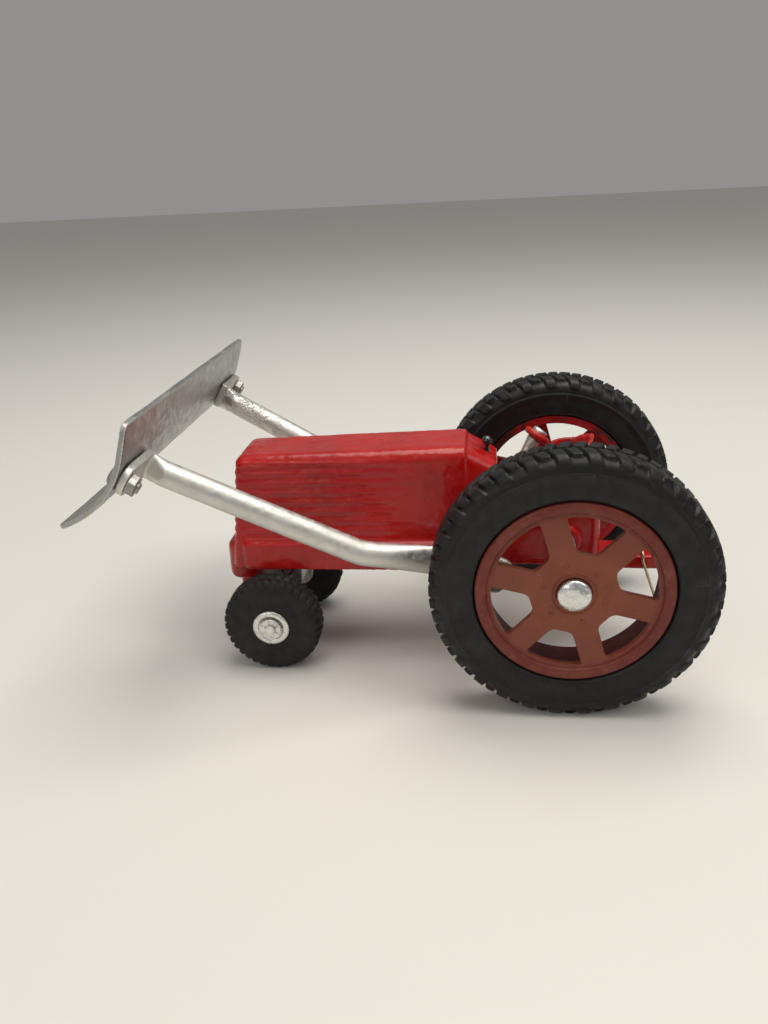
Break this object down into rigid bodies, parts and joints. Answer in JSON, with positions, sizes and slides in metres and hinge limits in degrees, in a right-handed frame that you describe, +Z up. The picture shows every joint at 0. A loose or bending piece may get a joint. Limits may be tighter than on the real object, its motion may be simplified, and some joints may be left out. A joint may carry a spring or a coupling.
{
  "type": "toy tractor",
  "caption": "Cast toy farm tractor with large spoked rear wheels, small front wheels, a wire hooked on its drawbar and a front blade that lifts on two tubular arms.",
  "frame": {"origin": "on the ground, under the middle of the whole tractor's bounding box", "axes": "+X to the rear, +Y to the tractor's right, +Z up; the blade is at the -X end"},
  "size_m": [0.2234, 0.14, 0.1161],
  "materials": {
    "red_casting": "cast aluminium with thick gloss red brush paint",
    "red_steel": "red paint over steel",
    "red_enamel": "gloss red enamel",
    "silver_steel": "dull plated steel",
    "silver_aluminium": "satin silver tube",
    "blade_aluminium": "rolled sheet with scuffs",
    "bright_cap": "bright plated, slightly dented",
    "bright_hub": "bright turned metal",
    "front_rubber": "black moulded rubber",
    "rear_rubber": "black moulded rubber, matt tread, smooth walls",
    "rim_plastic": "faded red brown moulded plastic",
    "black_knob": "gloss black",
    "wire": "tarnished wire"
  },
  "bodies": {
    "chassis": {"body_casting": "red_casting", "seat": "red_casting", "seat_post": "red_steel", "cowl_knob": "black_knob", "steering_column": "silver_steel", "column_cap": "silver_steel", "rear_axle": "silver_steel", "rear_cap_left": "bright_cap", "rear_cap_right": "bright_cap", "rear_spacer_left": "silver_aluminium", "rear_spacer_right": "silver_aluminium", "front_axle": "silver_steel", "front_axle_bracket": "silver_steel", "bracket_pin": "silver_steel", "bracket_push_nuts": "red_steel", "front_push_nut_left": "bright_cap", "front_push_nut_right": "bright_cap", "front_spacer_left": "silver_aluminium", "front_spacer_right": "silver_aluminium", "pivot_pin": "silver_steel", "pivot_push_nuts": "silver_steel"},
    "rear_wheel_left": {"rear_wheel_left": "rim_plastic", "rear_tyre_left": "rear_rubber"},
    "front_wheel_left": {"front_hub_left": "bright_hub", "front_tyre_left": "front_rubber"},
    "rear_wheel_right": {"rear_wheel_right": "rim_plastic", "rear_tyre_right": "rear_rubber"},
    "front_wheel_right": {"front_hub_right": "bright_hub", "front_tyre_right": "front_rubber"},
    "loader": {"loader_arm_left": "silver_aluminium", "loader_arm_right": "silver_aluminium", "loader_blade": "blade_aluminium", "blade_bolts": "silver_steel", "blade_nuts": "silver_steel"},
    "steering_wheel": {"steering_wheel": "red_enamel"},
    "hitch_wire": {"hitch_wire": "wire"}
  },
  "joints": [
    {"name": "rear_wheel_left_spin", "type": "hinge", "parent": "chassis", "child": "rear_wheel_left", "pos_m": [0.06172, -0.0495, 0.05], "axis": [0, 1, 0], "continuous": true},
    {"name": "front_wheel_left_spin", "type": "hinge", "parent": "chassis", "child": "front_wheel_left", "pos_m": [-0.05308, -0.02565, 0.0198], "axis": [0, 1, 0], "continuous": true},
    {"name": "rear_wheel_right_spin", "type": "hinge", "parent": "chassis", "child": "rear_wheel_right", "pos_m": [0.06172, 0.0495, 0.05], "axis": [0, 1, 0], "continuous": true},
    {"name": "front_wheel_right_spin", "type": "hinge", "parent": "chassis", "child": "front_wheel_right", "pos_m": [-0.05308, 0.02565, 0.0198], "axis": [0, 1, 0], "continuous": true},
    {"name": "loader_lift", "type": "hinge", "parent": "chassis", "child": "loader", "pos_m": [0.03172, 0, 0.043], "axis": [0, 1, 0], "range_deg": [-31, 30]},
    {"name": "steering_wheel_spin", "type": "hinge", "parent": "chassis", "child": "steering_wheel", "pos_m": [0.03522, 0, 0.0645], "axis": [0.5908, 0.1908, 0.784], "continuous": true},
    {"name": "hitch_wire_lift", "type": "slide", "parent": "chassis", "child": "hitch_wire", "axis": [0, 0, 1], "range_m": [0, 0.006]}
  ]
}
